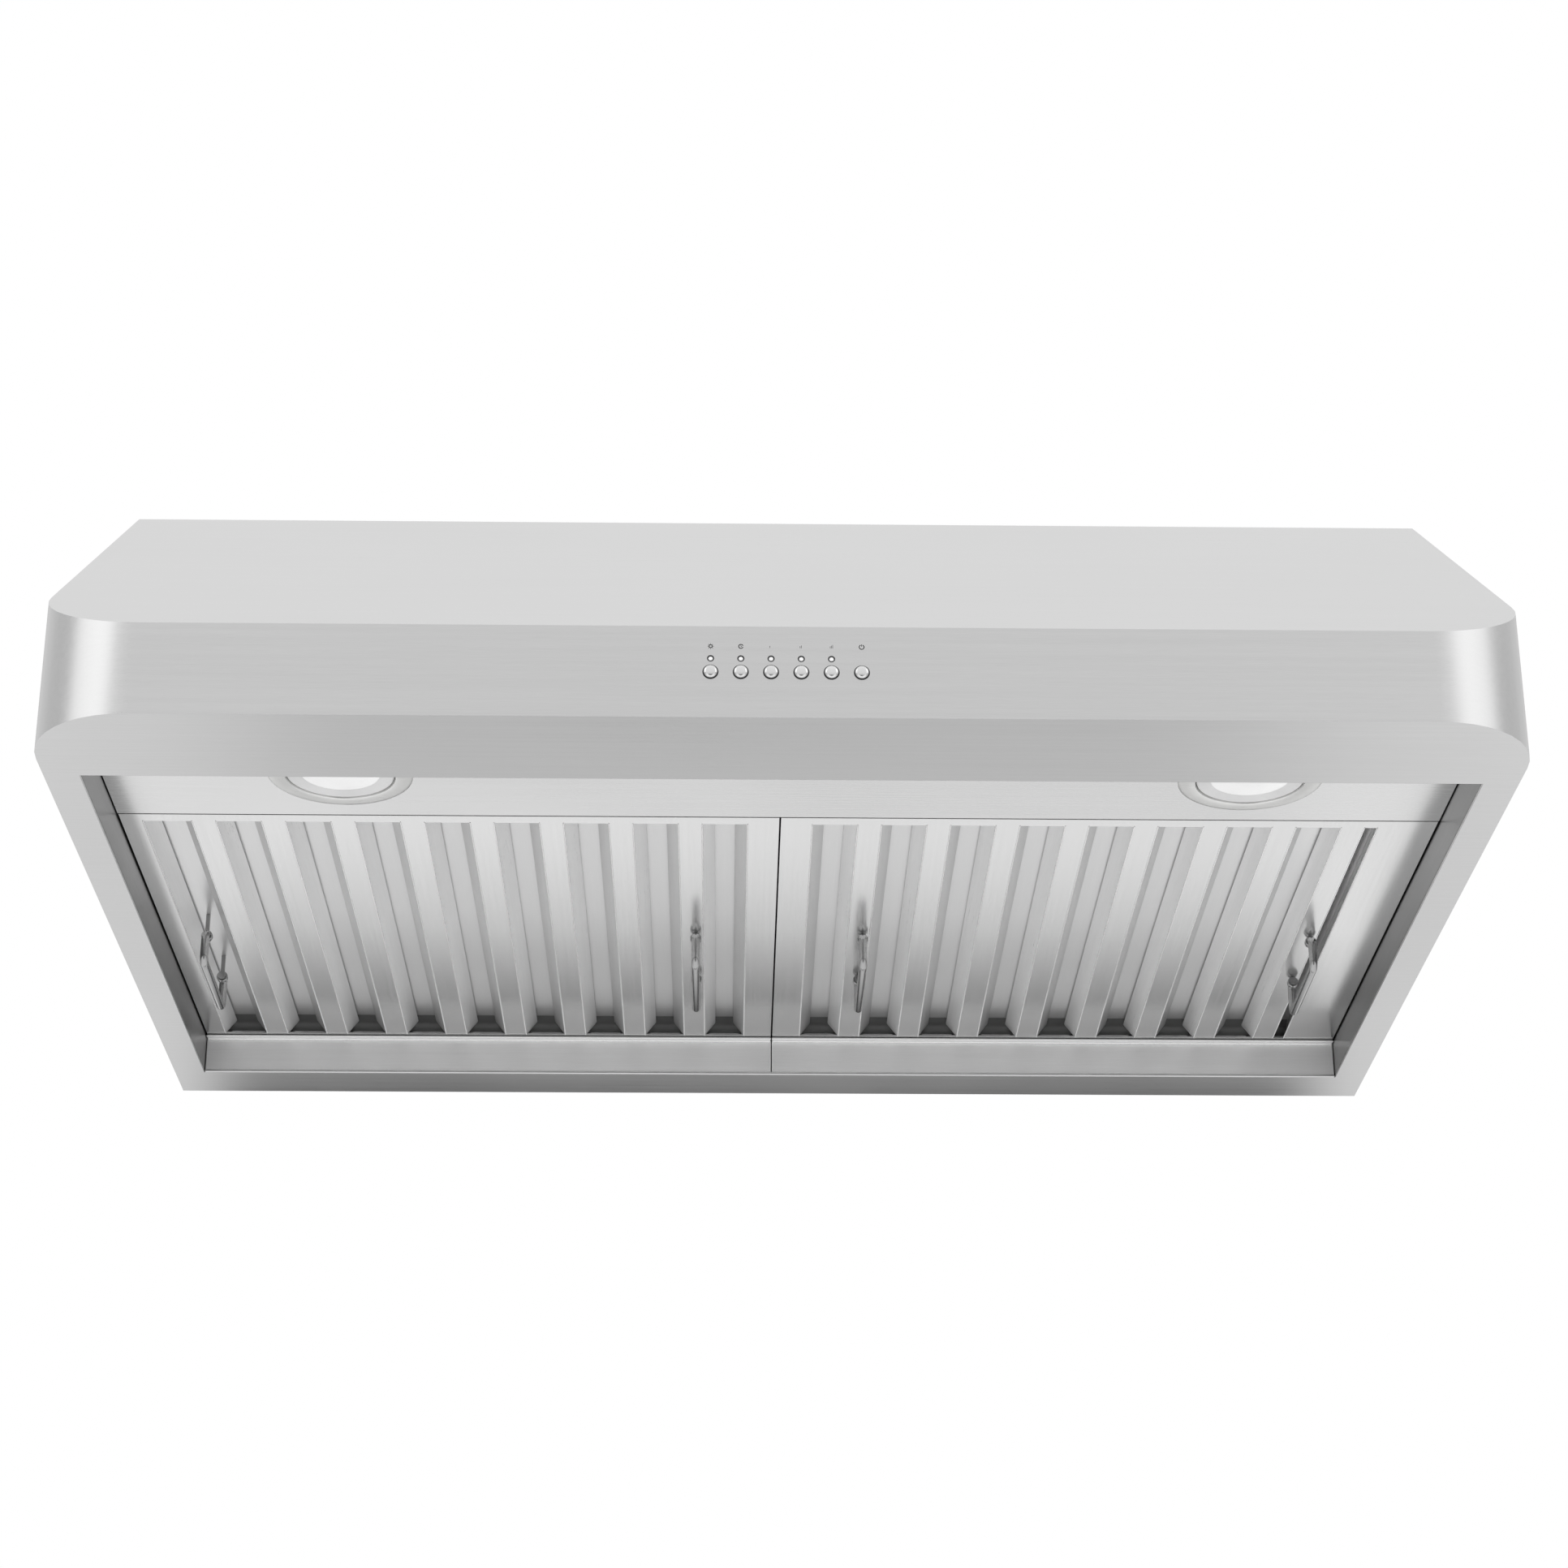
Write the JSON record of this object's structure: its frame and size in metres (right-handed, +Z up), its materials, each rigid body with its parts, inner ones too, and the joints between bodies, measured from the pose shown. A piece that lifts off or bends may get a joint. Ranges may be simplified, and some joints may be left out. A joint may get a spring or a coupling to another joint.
{
  "type": "under cabinet range hood",
  "caption": "Stainless under-cabinet range hood with a sloped front, push-button band, two round lights and slotted baffle filters with wire handles.",
  "frame": {"origin": "middle of the width and depth, on the underside plane of the bottom rim", "axes": "+X to the right seen from the front, +Y from the control band to the wall, +Z up"},
  "size_m": [0.756, 0.574, 0.29],
  "materials": {
    "brushed_steel": "satin stainless steel with a fine horizontal brushed grain",
    "rail_steel": "satin stainless steel, folded edges polished by the bend",
    "filter_steel": "semi-bright stainless steel baffles, front-to-back grain",
    "handle_wire": "bright drawn stainless wire",
    "button_metal": "satin metallised button caps",
    "light_trim": "satin aluminium trim ring",
    "light_body": "light grey painted lamp body",
    "light_lens": "frosted clear lens",
    "zinc_sheet": "galvanised sheet steel",
    "zinc_hardware": "bright zinc-plated hardware",
    "motor_metal": "zinc-plated motor can",
    "shaft_steel": "ground steel shaft",
    "wheel_aluminium": "pressed aluminium-coated fan wheel",
    "black_plastic": "black moulded plastic",
    "grey_plastic": "grey moulded plastic",
    "circuit_board": "green circuit board",
    "cable_jacket": "black insulated wiring"
  },
  "bodies": {
    "hood": {"canopy_shell": "brushed_steel", "top_plate": "brushed_steel", "back_plate": "zinc_sheet", "recess_frame": "brushed_steel", "rear_rail_left": "rail_steel", "rear_rail_right": "rail_steel", "light_panel": "brushed_steel", "light_bezel_left": "light_trim", "light_bezel_right": "light_trim", "light_module_left": "light_body", "light_module_right": "light_body", "light_lens_left": "light_lens", "light_lens_right": "light_lens", "indicator_light_pipe": "light_lens", "control_board": "circuit_board", "control_housing": "black_plastic", "blower_housing": "zinc_sheet", "blower_motor": "motor_metal", "motor_bracket": "zinc_sheet", "duct_collar": "zinc_sheet", "damper_pin": "zinc_hardware", "collar_screw_1": "zinc_hardware", "collar_screw_2": "zinc_hardware", "collar_screw_3": "zinc_hardware", "junction_box": "zinc_sheet", "junction_box_cover": "zinc_sheet", "cable_gland": "black_plastic", "light_driver": "grey_plastic", "run_capacitor": "grey_plastic", "control_cable": "cable_jacket", "motor_cable": "cable_jacket", "light_cable_left": "cable_jacket", "light_cable_right": "cable_jacket", "supply_cable": "cable_jacket"},
    "filter_left": {"filter_tray_left": "filter_steel", "filter_baffles_left": "filter_steel", "handle_lug_1_front": "handle_wire", "handle_lug_1_rear": "handle_wire", "handle_lug_2_front": "handle_wire", "handle_lug_2_rear": "handle_wire"},
    "filter_right": {"filter_tray_right": "filter_steel", "filter_baffles_right": "filter_steel", "handle_lug_3_front": "handle_wire", "handle_lug_3_rear": "handle_wire", "handle_lug_4_front": "handle_wire", "handle_lug_4_rear": "handle_wire"},
    "blower_wheel": {"blower_impeller": "wheel_aluminium", "motor_shaft": "shaft_steel"},
    "damper_front": {"damper_flap_front": "zinc_sheet"},
    "damper_rear": {"damper_flap_rear": "zinc_sheet"},
    "handle_1": {"filter_handle_1": "handle_wire"},
    "handle_2": {"filter_handle_2": "handle_wire"},
    "handle_3": {"filter_handle_3": "handle_wire"},
    "handle_4": {"filter_handle_4": "handle_wire"},
    "button_1": {"push_button_1": "button_metal"},
    "button_2": {"push_button_2": "button_metal"},
    "button_3": {"push_button_3": "button_metal"},
    "button_4": {"push_button_4": "button_metal"},
    "button_5": {"push_button_5": "button_metal"},
    "button_6": {"push_button_6": "button_metal"}
  },
  "joints": [
    {"name": "filter_left_tilt", "type": "hinge", "parent": "hood", "child": "filter_left", "pos_m": [-0.1789, 0.246, 0.024], "axis": [1, 0, 0], "range_deg": [0, 60]},
    {"name": "filter_right_tilt", "type": "hinge", "parent": "hood", "child": "filter_right", "pos_m": [0.1789, 0.246, 0.024], "axis": [1, 0, 0], "range_deg": [0, 60]},
    {"name": "handle_1_swing", "type": "hinge", "parent": "filter_left", "child": "handle_1", "pos_m": [-0.334, 0.101, 0.0207], "axis": [0, 1, 0], "range_deg": [-85, 85]},
    {"name": "handle_2_swing", "type": "hinge", "parent": "filter_left", "child": "handle_2", "pos_m": [-0.047, 0.101, 0.0207], "axis": [0, 1, 0], "range_deg": [-85, 85]},
    {"name": "handle_3_swing", "type": "hinge", "parent": "filter_right", "child": "handle_3", "pos_m": [0.0512, 0.101, 0.0207], "axis": [0, 1, 0], "range_deg": [-85, 85]},
    {"name": "handle_4_swing", "type": "hinge", "parent": "filter_right", "child": "handle_4", "pos_m": [0.3158, 0.101, 0.0207], "axis": [0, 1, 0], "range_deg": [-85, 85]},
    {"name": "button_1_press", "type": "slide", "parent": "hood", "child": "button_1", "axis": [0, 1, 0], "range_m": [0, 0.0012], "stiffness_N_per_m": 600, "springref_m": -0.0015},
    {"name": "button_2_press", "type": "slide", "parent": "hood", "child": "button_2", "axis": [0, 1, 0], "range_m": [0, 0.0012], "stiffness_N_per_m": 600, "springref_m": -0.0015},
    {"name": "button_3_press", "type": "slide", "parent": "hood", "child": "button_3", "axis": [0, 1, 0], "range_m": [0, 0.0012], "stiffness_N_per_m": 600, "springref_m": -0.0015},
    {"name": "button_4_press", "type": "slide", "parent": "hood", "child": "button_4", "axis": [0, 1, 0], "range_m": [0, 0.0012], "stiffness_N_per_m": 600, "springref_m": -0.0015},
    {"name": "button_5_press", "type": "slide", "parent": "hood", "child": "button_5", "axis": [0, 1, 0], "range_m": [0, 0.0012], "stiffness_N_per_m": 600, "springref_m": -0.0015},
    {"name": "button_6_press", "type": "slide", "parent": "hood", "child": "button_6", "axis": [0, 1, 0], "range_m": [0, 0.0012], "stiffness_N_per_m": 600, "springref_m": -0.0015},
    {"name": "blower_spin", "type": "hinge", "parent": "hood", "child": "blower_wheel", "pos_m": [0, 0.105, 0.146], "axis": [1, 0, 0], "continuous": true},
    {"name": "damper_front_swing", "type": "hinge", "parent": "hood", "child": "damper_front", "pos_m": [0, 0.14468, 0.2665], "axis": [-1, 0, 0], "range_deg": [0, 75]},
    {"name": "damper_rear_swing", "type": "hinge", "parent": "hood", "child": "damper_rear", "pos_m": [0, 0.14468, 0.2665], "axis": [1, 0, 0], "range_deg": [0, 75]}
  ]
}
